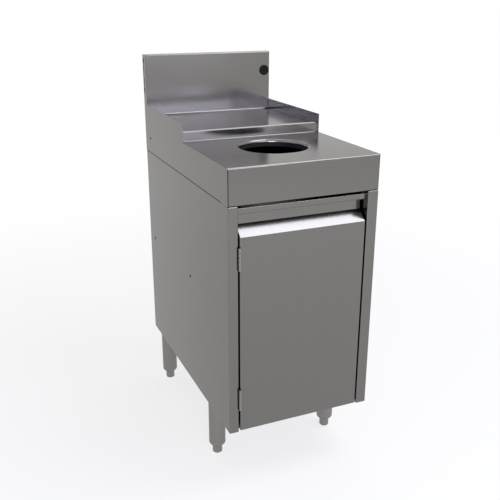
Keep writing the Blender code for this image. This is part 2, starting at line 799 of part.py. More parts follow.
def add_catch():
    """Magnet housing under the rail, with the two slots of its pole plates."""
    x, z = catch_middle()
    front = DOOR_BACK + SHEET + 2 * SEAT
    outline = rounded_plate(x, z, CATCH_LENGTH, CATCH_HEIGHT, CATCH_CORNER)
    placing = Matrix.Translation((0, front + CATCH_DEPTH / 2, 0)) @ ALONG_Y
    body = add_piece("catch_body", filled_outline([outline], CATCH_DEPTH, placing), "black_plastic")
    slots = bmesh.new()
    for offset in (-POLE_WIDTH, POLE_WIDTH):
        low = (x - POLE_LENGTH / 2, front - CUT_MARGIN, z + offset - POLE_WIDTH / 4)
        high = (x + POLE_LENGTH / 2, front + POLE_DEPTH, z + offset + POLE_WIDTH / 4)
        add_box(slots, low, high)
    combine(body, add_cutter("pole_slots", slots), "DIFFERENCE")


def leaf_outline(side):
    """Section of a hinge leaf about the barrel's axis: the barrel's outside and the strip that leaves it."""
    near = LEAF_CLEARANCE / 2
    far = near + LEAF
    tail = BARREL_OFFSET + LEAF_DEPTH
    first = math.acos(far / BARREL_RADIUS)
    last = math.acos(near / BARREL_RADIUS) - 2 * math.pi
    section = [(far, tail)] + arc(BARREL_RADIUS, first, last, BARREL_STEPS) + [(near, tail)]
    return [(side * a, b) for a, b in section]


def knuckle_cutter(name, height, first):
    """Boxes round every second knuckle, which belong to the other leaf."""
    bm = bmesh.new()
    pitch = HINGE_HEIGHT / HINGE_KNUCKLES
    reach = BARREL_RADIUS + CUT_MARGIN
    foot = height - HINGE_HEIGHT / 2
    for i in range(first, HINGE_KNUCKLES, 2):
        below = CUT_MARGIN if i == 0 else KNUCKLE_GAP / 2
        above = CUT_MARGIN if i == HINGE_KNUCKLES - 1 else KNUCKLE_GAP / 2
        low = (HINGE_X - reach, HINGE_Y - reach, foot + i * pitch - below)
        high = (HINGE_X + reach, FRONT - SEAT, foot + (i + 1) * pitch + above)
        add_box(bm, low, high)
    return add_cutter(name, bm)


def add_leaf(name, side, height, cut_from, origin):
    bore = arc(PIN_RADIUS + PIN_FIT, 0, 2 * math.pi, BARREL_STEPS)[:-1]
    placing = Matrix.Translation((HINGE_X, HINGE_Y, height))
    bm = filled_outline([leaf_outline(side), bore], HINGE_HEIGHT, placing)
    leaf = add_piece(name, bm, "hinge_steel", origin)
    combine(leaf, knuckle_cutter(name + "_gaps", height, cut_from), "DIFFERENCE")
    return leaf


def add_hinge(name, height, axis):
    """Butt hinge: three knuckles on the frame leaf, two on the door leaf and a pin through them."""
    add_leaf(name + "_frame_leaf", -1, height, 1, (HINGE_X, HINGE_Y, height))
    hang(add_leaf(name + "_door_leaf", 1, height, 0, axis.location), axis)
    half = HINGE_HEIGHT / 2
    profile = [
        (0, half),
        (PIN_RADIUS - PIN_END, half),
        (PIN_RADIUS, half - PIN_END),
        (PIN_RADIUS, PIN_END - half),
        (PIN_RADIUS - PIN_END, -half),
        (0, -half),
    ]
    add_turned(name + "_pin", profile, "hinge_steel", (HINGE_X, HINGE_Y, height), BARREL_STEPS, closed=False)


def add_leg(name, x, y):
    """Socket under the shelf, the leg tube on its spigot and the levelling foot in the tube's insert."""
    plate_top = SHELF_TOP - SHEET - SEAT
    plate_foot = plate_top - PLATE_THICKNESS
    half_x = LEG_RADIUS + PLATE_LIP
    half_y = LEG_RADIUS + PLATE_EAR
    spigot_radius = LEG_RADIUS - LEG_WALL - SPIGOT_FIT
    plate = new_box((x - half_x, y - half_y, plate_foot), (x + half_x, y + half_y, plate_top))
    socket = add_piece("leg_socket_" + name, plate, "leg_steel")
    length = SPIGOT_LENGTH + SPIGOT_LAP
    middle = plate_foot + SPIGOT_LAP - length / 2
    spigot = round_cutter("spigot_" + name, (x, y, middle), (0, 0, 1), spigot_radius, length, LEG_STEPS)
    combine(socket, spigot, "UNION")
    bore = FOOT_RADIUS + FOOT_FIT
    rounding = LEG_RADIUS - bore - LEG_LIP
    inner = LEG_RADIUS - LEG_WALL
    tube = [(LEG_RADIUS, plate_foot - SEAT)]
    tube += arc(rounding, 0, -math.pi / 2, BEND_STEPS + 1, (LEG_RADIUS - rounding, FOOT_SHOWN + rounding))
    tube += [
        (bore, FOOT_SHOWN),
        (bore, FOOT_SHOWN + INSERT_HEIGHT),
        (inner, FOOT_SHOWN + INSERT_HEIGHT),
        (inner, plate_foot - SEAT),
    ]
    add_turned("leg_tube_" + name, tube, "leg_steel", (x, y, 0), LEG_STEPS, closed=True)
    foot = [
        (0, FOOT_LENGTH),
        (FOOT_RADIUS - FOOT_CHAMFER, FOOT_LENGTH),
        (FOOT_RADIUS, FOOT_LENGTH - FOOT_CHAMFER),
        (FOOT_RADIUS, FOOT_CHAMFER),
        (FOOT_RADIUS - FOOT_CHAMFER, 0),
        (0, 0),
    ]
    add_turned("foot_" + name, foot, "leg_steel", (x, y, 0), LEG_STEPS, closed=False)


def build():
    door_axis = bpy.data.objects.new("door_axis", None)
    door_axis.location = (HINGE_X, HINGE_Y, (DOOR_BOTTOM + DOOR_TOP) / 2)
    PARTS.objects.link(door_axis)
    add_carcass()
    add_top()
    add_collar()
    add_plug()
    add_bin()
    add_door(door_axis)
    add_catch()
    for name, height in HINGE_HEIGHTS.items():
        add_hinge("hinge_" + name, height, door_axis)
    for name, (x, y) in LEG_PLACES.items():
        add_leg(name, x, y)


build()
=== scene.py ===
import math

import bmesh
import bpy
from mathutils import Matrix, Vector


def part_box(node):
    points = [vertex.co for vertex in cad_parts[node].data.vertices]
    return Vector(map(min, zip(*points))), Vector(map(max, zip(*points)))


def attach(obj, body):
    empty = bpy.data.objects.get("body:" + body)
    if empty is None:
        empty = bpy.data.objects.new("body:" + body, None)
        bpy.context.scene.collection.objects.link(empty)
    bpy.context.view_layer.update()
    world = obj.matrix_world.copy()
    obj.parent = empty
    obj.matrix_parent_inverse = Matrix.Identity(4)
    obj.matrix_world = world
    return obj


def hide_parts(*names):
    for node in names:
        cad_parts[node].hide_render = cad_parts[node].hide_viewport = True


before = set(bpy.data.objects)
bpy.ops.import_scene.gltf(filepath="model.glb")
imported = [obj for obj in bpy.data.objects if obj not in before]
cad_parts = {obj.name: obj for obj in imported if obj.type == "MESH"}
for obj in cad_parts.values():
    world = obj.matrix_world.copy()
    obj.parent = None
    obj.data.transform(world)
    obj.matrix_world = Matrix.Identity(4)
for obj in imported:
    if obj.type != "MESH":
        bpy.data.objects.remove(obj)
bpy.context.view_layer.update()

# Cabinet sides
# Each is one stainless sheet, folded at the front into a stile and its return, and at the top and back
# into flanges. Two bolt holes join the unit to its neighbour, and the left stile is notched for the hinges.
SHEET = 0.0012
FOLD = 0.0030
TIGHT_FOLD = 0.0018
STILE_RETURN = 0.0340
BOLT_HOLE = 0.0040
BOLT_HEIGHT = 0.4426
BOLT_PLACES = (0.26295, -0.04435)
NOTCH_WIDTH = 0.0032
NOTCH_DEPTH = 0.0060
NOTCH_PLAY = 0.0005
DRILL_LENGTH = 0.0120
OVERCUT = 0.0020
NEAR = 1e-6
STEEL = (0.185, 0.178, 0.167)
SATIN = 0.17
GRAIN = 1800
GRAIN_RUN = 9


def take_up(piece):
    """Selects one piece alone, as the one being worked on."""
    if bpy.context.object and bpy.context.object.mode == "EDIT":
        bpy.ops.object.mode_set(mode="OBJECT")
    bpy.ops.object.select_all(action="DESELECT")
    piece.select_set(True)
    bpy.context.view_layer.objects.active = piece


def block(name, low, high):
    """A block between two corners, opened for work. It is cut, folded and rounded afterwards."""
    low = Vector(low)
    high = Vector(high)
    bpy.ops.object.select_all(action="DESELECT")
    bpy.ops.mesh.primitive_cube_add(size=1, location=(low + high) / 2, scale=high - low)
    piece = bpy.context.object
    piece.name = name
    piece.data.name = name
    bpy.ops.object.transform_apply(location=True, rotation=True, scale=True)
    bpy.ops.object.mode_set(mode="EDIT")
    return piece


def pick(piece, kind, test):
    """Selects the VERT, EDGE or FACE items of the opened piece that pass the test."""
    bpy.ops.mesh.select_mode(type=kind)
    bpy.ops.mesh.select_all(action="DESELECT")
    bm = bmesh.from_edit_mesh(piece.data)
    bm.normal_update()
    for item in {"VERT": bm.verts, "EDGE": bm.edges, "FACE": bm.faces}[kind]:
        if test(item):
            item.select_set(True)
    bmesh.update_edit_mesh(piece.data)


def middle(item):
    """The middle of an edge or a face."""
    return sum((vert.co for vert in item.verts), Vector()) / len(item.verts)


def is_fold(edge):
    """Whether an edge is a corner between two faces."""
    return len(edge.link_faces) == 2 and edge.calc_face_angle() > 0.01


def runs(edge, axis):
    """Whether an edge lies along an axis: 0, 1 or 2."""
    along = (edge.verts[1].co - edge.verts[0].co).normalized()
    return abs(along[axis]) > 0.9


def open_side(piece, direction):
    """Takes away the faces that look in a direction."""
    pick(piece, "FACE", lambda face: face.normal.dot(Vector(direction)) > 0.99)
    bpy.ops.mesh.delete(type="FACE")


def round_off(radius, steps=5):
    """Turns the picked edges into a bend of that radius."""
    bpy.ops.mesh.bevel(offset_type="OFFSET", offset=radius, segments=steps, profile=0.5, affect="EDGES")


def give_thickness(piece, thickness=SHEET):
    """Gives the drawn faces the thickness of the sheet, behind the side that shows."""
    take_up(piece)
    modifier = piece.modifiers.new("thickness", "SOLIDIFY")
    modifier.thickness = thickness
    modifier.offset = -1
    modifier.use_even_offset = True
    bpy.ops.object.modifier_apply(modifier="thickness")


def cut_away(piece, cutter):
    """Cuts a piece with another shape, which is used up."""
    take_up(piece)
    modifier = piece.modifiers.new("cut", "BOOLEAN")
    modifier.object = cutter
    modifier.solver = "EXACT"
    bpy.ops.object.modifier_apply(modifier="cut")
    bpy.data.objects.remove(cutter)


def box_cutter(low, high):
    """A block between two corners, closed and ready to cut with."""
    cutter = block("cutter", low, high)
    take_up(cutter)
    return cutter


def drill(piece, centre, radius, turn):
    """Drills a round hole. The turn lays the drill, which stands upright at first."""
    bpy.ops.object.select_all(action="DESELECT")
    bpy.ops.mesh.primitive_cylinder_add(
        vertices=40, radius=radius, depth=DRILL_LENGTH, location=centre, rotation=turn
    )
    cut_away(piece, bpy.context.object)


def smooth(piece, material):
    """Smooths the bends, keeps the flats flat and puts the finish on."""
    take_up(piece)
    bpy.ops.object.shade_smooth_by_angle(angle=math.radians(34))
    modifier = piece.modifiers.new("flats", "WEIGHTED_NORMAL")
    modifier.keep_sharp = True
    bpy.ops.object.modifier_apply(modifier="flats")
    piece.data.materials.clear()
    piece.data.materials.append(material)


def stands_for(piece, node, body):
    """Puts a piece in the place of a CAD node, on that node's body."""
    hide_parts(node)
    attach(piece, body)


def satin_steel(name, brushing, colour, roughness):
    """Brushed stainless. Brushing is how often the lines repeat in a metre along x, y and z."""
    material = bpy.data.materials.new(name)
    material.use_nodes = True
    nodes = material.node_tree.nodes
    link = material.node_tree.links.new
    shader = nodes["Principled BSDF"]
    shader.inputs["Metallic"].default_value = 1.0
    shader.inputs["Specular Tint"].default_value = (0.8, 0.8, 0.8, 1)
    place = nodes.new("ShaderNodeTexCoord")

    # Fine brush lines, and broader bands where the belt pressed harder
    heights = []
    for share in (1.0, 0.06):
        stretch = nodes.new("ShaderNodeMapping")
        stretch.inputs["Scale"].default_value = [count * share for count in brushing]
        lines = nodes.new("ShaderNodeTexNoise")
        lines.inputs["Scale"].default_value = 1.0
        lines.inputs["Detail"].default_value = 2.0
        link(place.outputs["Object"], stretch.inputs["Vector"])
        link(stretch.outputs["Vector"], lines.inputs["Vector"])
        heights.append(lines.outputs["Fac"])
    brush = nodes.new("ShaderNodeMix")
    brush.inputs["Factor"].default_value = 0.30
    link(heights[0], brush.inputs["A"])
    link(heights[1], brush.inputs["B"])

    # Clouding left by wiping and handling
    cloud = nodes.new("ShaderNodeTexNoise")
    cloud.inputs["Scale"].default_value = 6.0
    cloud.inputs["Detail"].default_value = 4.0
    link(place.outputs["Object"], cloud.inputs["Vector"])

    tone = nodes.new("ShaderNodeValToRGB")
    tone.color_ramp.elements[0].position = 0.3
    tone.color_ramp.elements[0].color = [value * 0.97 for value in colour] + [1]
    tone.color_ramp.elements[1].position = 0.7
    tone.color_ramp.elements[1].color = [value * 1.03 for value in colour] + [1]
    link(brush.outputs["Result"], tone.inputs["Fac"])
    link(tone.outputs["Color"], shader.inputs["Base Color"])

    gloss = nodes.new("ShaderNodeMapRange")
    gloss.inputs["From Min"].default_value = 0.3
    gloss.inputs["From Max"].default_value = 0.7
    gloss.inputs["To Min"].default_value = roughness - 0.02
    gloss.inputs["To Max"].default_value = roughness + 0.02
    link(cloud.outputs["Fac"], gloss.inputs["Value"])
    link(gloss.outputs["Result"], shader.inputs["Roughness"])

    scratch = nodes.new("ShaderNodeBump")
    scratch.inputs["Strength"].default_value = 0.04
    scratch.inputs["Distance"].default_value = 0.0002
    link(brush.outputs["Result"], scratch.inputs["Height"])
    link(scratch.outputs["Normal"], shader.inputs["Normal"])
    return material


upright_satin = satin_steel("upright_satin", (GRAIN, GRAIN, GRAIN_RUN), STEEL, SATIN)

for node, inward in (("side_panel_left", 1), ("side_panel_right", -1)):
    low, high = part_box(node)
    side = block("cabinet_" + node.replace("_panel", ""), low, high)
    return_end = low.y + STILE_RETURN
    bpy.ops.mesh.bisect(plane_co=(0, return_end, 0), plane_no=(0, 1, 0))
    open_side(side, (0, 0, -1))
    pick(side, "FACE", lambda face: face.normal.x * inward > 0.99 and middle(face).y > return_end)
    bpy.ops.mesh.delete(type="FACE")
    bpy.ops.mesh.select_all(action="SELECT")
    bpy.ops.mesh.dissolve_limited(angle_limit=math.radians(0.2))
    pick(side, "EDGE", lambda edge: is_fold(edge) and runs(edge, 2))
    round_off(FOLD)
    pick(side, "EDGE", lambda edge: is_fold(edge) and min(v.co.z for v in edge.verts) > high.z - NEAR)
    round_off(TIGHT_FOLD)
    give_thickness(side)
    outer = low.x if inward > 0 else high.x
    for place_y in BOLT_PLACES:
        drill(side, (outer, place_y, BOLT_HEIGHT), BOLT_HOLE, (0, math.pi / 2, 0))
    if inward > 0:
        for hinge in ("hinge_upper_pin", "hinge_lower_pin"):
            foot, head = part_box(hinge)
            notch_low = (high.x - NOTCH_WIDTH, low.y - OVERCUT, foot.z - NOTCH_PLAY)
            notch_high = (high.x + OVERCUT, low.y + NOTCH_DEPTH, head.z + NOTCH_PLAY)
            cut_away(side, box_cutter(notch_low, notch_high))
    smooth(side, upright_satin)
    stands_for(side, node, "cabinet")

# Shelf, back panel and front rail
# Three folded stainless trays, spot welded between the sides. The shelf stiffens the foot of the cabinet and
# carries the bin, the back closes it, and the rail ties the stiles together above the door.
across_satin = satin_steel("across_satin", (GRAIN_RUN, GRAIN, GRAIN), STEEL, SATIN)


def folded_tray(name, low, high, open_sides, radius):
    """A tray: a block with some sides left open and its corners bent."""
    tray = block(name, low, high)
    for direction in open_sides:
        open_side(tray, direction)
    pick(tray, "EDGE", is_fold)
    round_off(radius)
    give_thickness(tray)
    return tray


shelf = folded_tray("shelf", *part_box("shelf_pan"), [(0, 0, -1)], FOLD)
back = folded_tray("back_of_cabinet", *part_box("back_panel"), [(0, -1, 0)], FOLD)
rail = folded_tray("front_rail", *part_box("top_rail"), [(0, 1, 0), (1, 0, 0), (-1, 0, 0)], TIGHT_FOLD)
for piece, node, satin in (
    (shelf, "shelf_pan", across_satin),
    (back, "back_panel", upright_satin),
    (rail, "top_rail", across_satin),
):
    smooth(piece, satin)
    stands_for(piece, node, "cabinet")

# Legs
# Round stainless tubes, pushed up on the spigot of a plate under the shelf and drawn in at the foot round
# a threaded insert. Two hexagon bolts hold each plate.
LEG_RADIUS = 0.02065
LEG_WALL = 0.0015
LEG_FOOT = 0.0235
LEG_MIDDLE = 0.1000
LEG_EDGE = 0.0004
INSERT_BORE = 0.01215
INSERT_HEIGHT = 0.0200
INSERT_LIP = 0.0005
INSERT_EDGE = 0.0003
PLATE = 0.0030
PLATE_CORNER = 0.0040
PLATE_EDGE = 0.0004
SPIGOT_RADIUS = 0.01895
SPIGOT_END = 0.0180
SPIGOT_LEAD = 0.0010
BOLT_FLATS = 0.0100
BOLT_HEAD = 0.0042
BOLT_SINK = 0.0001
BOLT_CHAMFER = 0.0007
BOLT_CROWN = 0.0004
BOLT_REACH = 0.0287
WASHER = 0.0013
WASHER_RADIUS = 0.0066
WASHER_EDGE = 0.0003
WASHER_EASE = 0.0004
# The steel of the legs and feet is set lighter than the sheet steel: painted light that makes up for the
# shade under the cabinet
LEG_STEEL_LIGHTENED = (0.238, 0.232, 0.223)
LEG_SATIN = 0.28
LEGS = ("front_left", "front_right", "rear_left", "rear_right")

leg_satin = satin_steel("leg_satin", (12, 12, 2600), LEG_STEEL_LIGHTENED, LEG_SATIN)
bolt_steel = satin_steel("bolt_steel", (400, 400, 400), (0.24, 0.236, 0.228), 0.30)


def turned(name, profile, centre, steps, axis=(0, 0, 1), side=(1, 0, 0)):
    """A round piece. A point is drawn along half its section, each step (radius, height), and spun."""
    centre = Vector(centre)
    axis = Vector(axis)
    side = Vector(side)
    points = [centre + side * radius + axis * height for radius, height in profile]
    bpy.ops.object.select_all(action="DESELECT")
    bpy.ops.mesh.primitive_plane_add(size=0.01, location=points[0])
    piece = bpy.context.object
    piece.name = name
    piece.data.name = name
    bpy.ops.object.transform_apply(location=True, rotation=True, scale=True)
    bpy.ops.object.mode_set(mode="EDIT")
    bpy.ops.mesh.select_mode(type="VERT")
    bpy.ops.mesh.merge(type="CENTER")
    for start, end in zip(points, points[1:]):
        bpy.ops.mesh.extrude_region_move(TRANSFORM_OT_translate={"value": end - start})
    bpy.ops.mesh.select_all(action="SELECT")
    bpy.ops.mesh.spin(steps=steps, angle=2 * math.pi, center=centre, axis=axis)
    bpy.ops.mesh.select_all(action="SELECT")
    bpy.ops.mesh.remove_doubles(threshold=NEAR)
    bpy.ops.mesh.normals_make_consistent(inside=False)
    bpy.ops.object.mode_set(mode="OBJECT")
    return piece


def arc(radius, first, last, steps, centre):
    """Points of a section along an arc, between two angles in degrees."""
    angles = [math.radians(first + (last - first) * i / steps) for i in range(steps + 1)]
    return [(centre[0] + radius * math.cos(a), centre[1] + radius * math.sin(a)) for a in angles]


def copied(piece, name):
    """A copy of a piece with a mesh of its own."""
    take_up(piece)
    bpy.ops.object.duplicate()
    copy = bpy.context.object
    copy.name = name
    copy.data.name = name
    return copy


def moved(piece, name, shift):
    """A copy of a piece, moved, with its place in its mesh."""
    copy = copied(piece, name)
    bpy.ops.transform.translate(value=shift)
    bpy.ops.object.transform_apply(location=True, rotation=True, scale=True)
    return copy


def joined(pieces, name):
    """Several solids made one piece."""
    take_up(pieces[0])
    for piece in pieces:
        piece.select_set(True)
    bpy.ops.object.join()
    pieces[0].name = name
    return pieces[0]


def hexagon_bolt(name, centre):
    """The head of a hexagon bolt and its washer, hanging under the point given."""
    x, y, z = centre
    bpy.ops.object.select_all(action="DESELECT")
    radius = BOLT_FLATS / math.sqrt(3)
    head_middle = (x, y, z - WASHER - BOLT_HEAD / 2 + BOLT_SINK)
    bpy.ops.mesh.primitive_cylinder_add(vertices=6, radius=radius, depth=BOLT_HEAD, location=head_middle)
    head = bpy.context.object
    bpy.ops.object.transform_apply(location=True, rotation=True, scale=True)
    bpy.ops.object.mode_set(mode="EDIT")
    pick(head, "FACE", lambda face: face.normal.z < -0.99)
    bpy.ops.mesh.inset(thickness=BOLT_CHAMFER)
    bpy.ops.transform.translate(value=(0, 0, -BOLT_CROWN))
    bpy.ops.object.mode_set(mode="OBJECT")
    washer_section = [
        (0, 0),
        (WASHER_RADIUS, 0),
        (WASHER_RADIUS, WASHER_EDGE - WASHER),
        (WASHER_RADIUS - WASHER_EASE, -WASHER),
        (0, -WASHER),
    ]
    washer = turned(name, washer_section, centre, 32)
    return joined([washer, head], name)


low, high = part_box("leg_tube_front_left")
leg_top = high.z
rounding = LEG_RADIUS - INSERT_BORE - INSERT_LIP
first_leg = Vector(((low.x + high.x) / 2, (low.y + high.y) / 2, 0))
leg_section = [(LEG_RADIUS, leg_top - LEG_EDGE), (LEG_RADIUS, LEG_MIDDLE)]
leg_section += arc(rounding, 0, -90, 9, (LEG_RADIUS - rounding, LEG_FOOT + rounding))
leg_section += [
    (INSERT_BORE + INSERT_EDGE, LEG_FOOT),
    (INSERT_BORE, LEG_FOOT + INSERT_EDGE),
    (INSERT_BORE, LEG_FOOT + INSERT_HEIGHT),
    (LEG_RADIUS - LEG_WALL, LEG_FOOT + INSERT_HEIGHT),
    (LEG_RADIUS - LEG_WALL, leg_top),
    (LEG_RADIUS - LEG_EDGE, leg_top),
    (LEG_RADIUS, leg_top - LEG_EDGE),
]
leg = turned("leg", leg_section, first_leg, 64)

low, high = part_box("leg_socket_front_left")
plate = block("leg_plate", (low.x, low.y, high.z - PLATE), high)
pick(plate, "EDGE", lambda edge: runs(edge, 2))
round_off(PLATE_CORNER, 4)
pick(plate, "EDGE", is_fold)
round_off(PLATE_EDGE, 2)
take_up(plate)
spigot_top = high.z - PLATE + SPIGOT_LEAD
spigot_section = [
    (0, spigot_top),
    (SPIGOT_RADIUS, spigot_top),
    (SPIGOT_RADIUS, low.z + SPIGOT_LEAD),
    (SPIGOT_END, low.z),
    (0, low.z),
]
spigot = turned("spigot", spigot_section, first_leg, 48)
plate = joined([plate, spigot], "leg_plate")
bolts = []
for reach in (-BOLT_REACH, BOLT_REACH):
    bolts.append(hexagon_bolt("plate_bolt", (first_leg.x, first_leg.y + reach, high.z - PLATE)))
plate_bolts = joined(bolts, "plate_bolts")

for place in LEGS:
    low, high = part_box("leg_tube_" + place)
    shift = Vector(((low.x + high.x) / 2, (low.y + high.y) / 2, 0)) - first_leg
    tube = moved(leg, "leg_" + place, shift)
    socket = moved(plate, "leg_plate_" + place, shift)
    heads = moved(plate_bolts, "plate_bolts_" + place, shift)
    smooth(tube, leg_satin)
    smooth(socket, leg_satin)
    smooth(heads, bolt_steel)
    stands_for(tube, "leg_tube_" + place, "cabinet")
    stands_for(socket, "leg_socket_" + place, "cabinet")
    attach(heads, "cabinet")
for used in (leg, plate, plate_bolts):
    bpy.data.objects.remove(used)

# Levelling feet
# Solid stainless rods with a chamfered end, screwed up into the inserts of the legs. The lower part is
# plain, for the fingers to turn, and the thread shows only as a foot is wound out.
FOOT_RADIUS = 0.0120
FOOT_LENGTH = 0.0640
THREAD_FOOT = 0.0245
THREAD_PITCH = 0.0020
THREAD_DEPTH = 0.0010
THREAD_END = 0.0045
LEAD_IN = 0.0022

# The feet take the same lightened steel, painted light against the shade under the cabinet
foot_satin = satin_steel("foot_satin", (14, 14, 2600), LEG_STEEL_LIGHTENED, LEG_SATIN)

# The chamfered pad, the plain part and the run-out, then one ridge for each turn of the thread
thread_root = FOOT_RADIUS - THREAD_DEPTH
foot_section = [(0, 0), (0.0095, 0), (0.0099, 0.0002), (0.0118, 0.0021), (FOOT_RADIUS, 0.0026)]
foot_section += [(FOOT_RADIUS, THREAD_FOOT - 0.0012), (thread_root, THREAD_FOOT - 0.0002)]
height = THREAD_FOOT
while height < FOOT_LENGTH - THREAD_END:
    foot_section.append((thread_root, height))
    foot_section.append((FOOT_RADIUS, height + 0.45 * THREAD_PITCH))
    foot_section.append((FOOT_RADIUS, height + 0.6 * THREAD_PITCH))
    height += THREAD_PITCH
foot_section += [(thread_root, height), (FOOT_RADIUS - LEAD_IN, FOOT_LENGTH), (0, FOOT_LENGTH)]
rod = turned("foot", foot_section, first_leg, 56)
for place in LEGS:
    low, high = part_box("foot_" + place)
    shift = Vector(((low.x + high.x) / 2, (low.y + high.y) / 2, 0)) - first_leg
    foot = moved(rod, "levelling_foot_" + place, shift)
    smooth(foot, foot_satin)
    stands_for(foot, "foot_" + place, "foot_" + place)
bpy.data.objects.remove(rod)

# Top sheet
# One stainless sheet folded into the backsplash, the ledge with a raised lip, the riser, the worktop and the
# apron. The waste hole is punched in the worktop and its edge drawn down.
APRON_FLANGE = 0.0200
APRON_END_GAP = 0.0013
WORKTOP = 0.7644
LEDGE = 0.7821
LIP_TOP = 0.7890
RISER = -0.01155
LIP_BACK = -0.00205
BACKSPLASH_FRONT = 0.28365
BACKSPLASH_RETURN = 0.0300
SPLASH_TOP = 0.8092
SEAM_ROUND = 0.0011
HOLE_CENTRE = (0, -0.13105, WORKTOP)
HOLE_RADIUS = 0.0770
HOLE_FOLD = 0.0065
HOLE_EDGE = 0.0010
PLUG_PLACE = (0.1623, BACKSPLASH_FRONT, 0.8883)
PLUG_HOLE = 0.0120

low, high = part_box("deck_sheet")
top = block("top_sheet", low, (high.x, RISER, WORKTOP))
for direction in ((1, 0, 0), (-1, 0, 0), (0, 1, 0), (0, 0, -1)):
    open_side(top, direction)
pick(top, "EDGE", lambda edge: runs(edge, 0) and middle(edge).z < low.z + NEAR)
bpy.ops.mesh.extrude_region_move(TRANSFORM_OT_translate={"value": (0, APRON_FLANGE, 0)})
pick(top, "EDGE", lambda edge: runs(edge, 0) and middle(edge).y > RISER - NEAR)
for step in (
    (0, 0, LIP_TOP - WORKTOP),
    (0, LIP_BACK - RISER, 0),
    (0, 0, LEDGE - LIP_TOP),
    (0, BACKSPLASH_FRONT - LIP_BACK, 0),
    (0, 0, high.z - LEDGE),
    (0, high.y - BACKSPLASH_FRONT, 0),
    (0, 0, -BACKSPLASH_RETURN),
):
    bpy.ops.mesh.extrude_region_move(TRANSFORM_OT_translate={"value": step})


def is_tight(edge):
    """Whether a fold is a sharp one: the apron's foot, the riser's foot or the back of the ledge's lip."""
    place = middle(edge)
    at_riser_foot = abs(place.y - RISER) < NEAR and abs(place.z - WORKTOP) < NEAR
    return place.z < low.z + NEAR or at_riser_foot or abs(place.y - LIP_BACK) < NEAR


pick(top, "EDGE", lambda edge: is_fold(edge) and not is_tight(edge))
round_off(FOLD, 6)
pick(top, "EDGE", lambda edge: is_fold(edge) and is_tight(edge))
round_off(TIGHT_FOLD)

# The worktop's face is taken out and filled again round the hole
pick(top, "FACE", lambda face: face.normal.z > 0.99 and abs(middle(face).z - WORKTOP) < NEAR)
bpy.ops.mesh.delete(type="ONLY_FACE")
bpy.ops.mesh.primitive_circle_add(vertices=96, radius=HOLE_RADIUS, fill_type="NOTHING", location=HOLE_CENTRE)
pick(
    top,
    "EDGE",
    lambda edge: len(edge.link_faces) < 2 and all(abs(vert.co.z - WORKTOP) < NEAR for vert in edge.verts),
)
bpy.ops.mesh.fill(use_beauty=True)


def on_hole(edge):
    """Whether an edge lies on the upper rim of the waste hole."""
    return all(
        abs(math.hypot(vert.co.x, vert.co.y - HOLE_CENTRE[1]) - HOLE_RADIUS) < 1e-5
        and abs(vert.co.z - WORKTOP) < NEAR
        for vert in edge.verts
    )


pick(top, "EDGE", on_hole)
bpy.ops.mesh.extrude_region_move(TRANSFORM_OT_translate={"value": (0, 0, -HOLE_FOLD - HOLE_EDGE)})
pick(top, "EDGE", on_hole)
round_off(HOLE_FOLD, 9)
give_thickness(top)


def beside_splash(edge):
    """Whether an edge is an end of the ledge or backsplash that a side splash closes off."""
    place = middle(edge)
    at_end = all(abs(abs(vert.co.x) - high.x) < NEAR for vert in edge.verts)
    shows = any(face.normal.z - face.normal.y > 0.5 for face in edge.link_faces)
    return at_end and shows and place.y > LIP_BACK + TIGHT_FOLD and place.z < SPLASH_TOP


# These ends are dressed round before the splashes are welded on, which leaves a fine dark seam
bpy.ops.object.mode_set(mode="EDIT")
bpy.ops.mesh.select_all(action="SELECT")
bpy.ops.mesh.bisect(plane_co=(0, 0, SPLASH_TOP), plane_no=(0, 0, 1))
pick(top, "EDGE", beside_splash)
round_off(SEAM_ROUND, 4)
take_up(top)
drill(top, PLUG_PLACE, PLUG_HOLE, (math.pi / 2, 0, 0))
gap_low = (low.x - OVERCUT, low.y - OVERCUT, low.z - OVERCUT)
gap_high = (low.x + APRON_END_GAP, low.y + APRON_FLANGE + OVERCUT, WORKTOP - FOLD)
cut_away(top, box_cutter(gap_low, gap_high))
smooth(top, across_satin)
stands_for(top, "deck_sheet", "cabinet")

# End plates of the top
# Flat stainless plates welded to the ends of the top sheet. Each makes the skirt, the low side splash and
# the end of the hollow backsplash, with a bolt hole and four slots for joining, and a flange to stand on.
SPLASH_FRONT = -0.01735
FLANGE = 0.0180
FLANGE_FROM_FRONT = 0.0380
FLANGE_FROM_BACK = 0.0105
SKIRT_BOLT_HEIGHT = 0.72465
SLOT_Y = 0.30055
SLOT_REACH = 0.0040
SLOT_END = 0.499
SLOTS = (
    (0.9234, 0.0080, 0.0140),
    (0.8478, 0.0080, 0.0140),
    (0.9009, 0.0045, 0.0245),
    (0.8703, 0.0045, 0.0245),
)

along_satin = satin_steel("along_satin", (GRAIN, GRAIN_RUN, GRAIN), STEEL, SATIN)

low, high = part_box("end_skirt_left")
left_end = block("end_plate_left", low, (low.x + FLANGE, high.y, WORKTOP))
pick(left_end, "FACE", lambda face: face.normal.x > -0.99)
bpy.ops.mesh.delete(type="FACE")
flange_start = low.y + FLANGE_FROM_FRONT
flange_end = high.y - FLANGE_FROM_BACK
for place_y in (SPLASH_FRONT, BACKSPLASH_FRONT, flange_start, flange_end):
    bpy.ops.mesh.select_all(action="SELECT")
    bpy.ops.mesh.bisect(plane_co=(0, place_y, 0), plane_no=(0, 1, 0))
pick(left_end, "EDGE", lambda edge: middle(edge).z > WORKTOP - NEAR and middle(edge).y > SPLASH_FRONT)
bpy.ops.mesh.extrude_region_move(TRANSFORM_OT_translate={"value": (0, 0, SPLASH_TOP - WORKTOP)})
pick(left_end, "EDGE", lambda edge: middle(edge).z > SPLASH_TOP - NEAR and middle(edge).y > BACKSPLASH_FRONT)
bpy.ops.mesh.extrude_region_move(TRANSFORM_OT_translate={"value": (0, 0, high.z - SPLASH_TOP)})
bpy.ops.mesh.select_all(action="SELECT")
bpy.ops.mesh.dissolve_limited(angle_limit=math.radians(0.2))
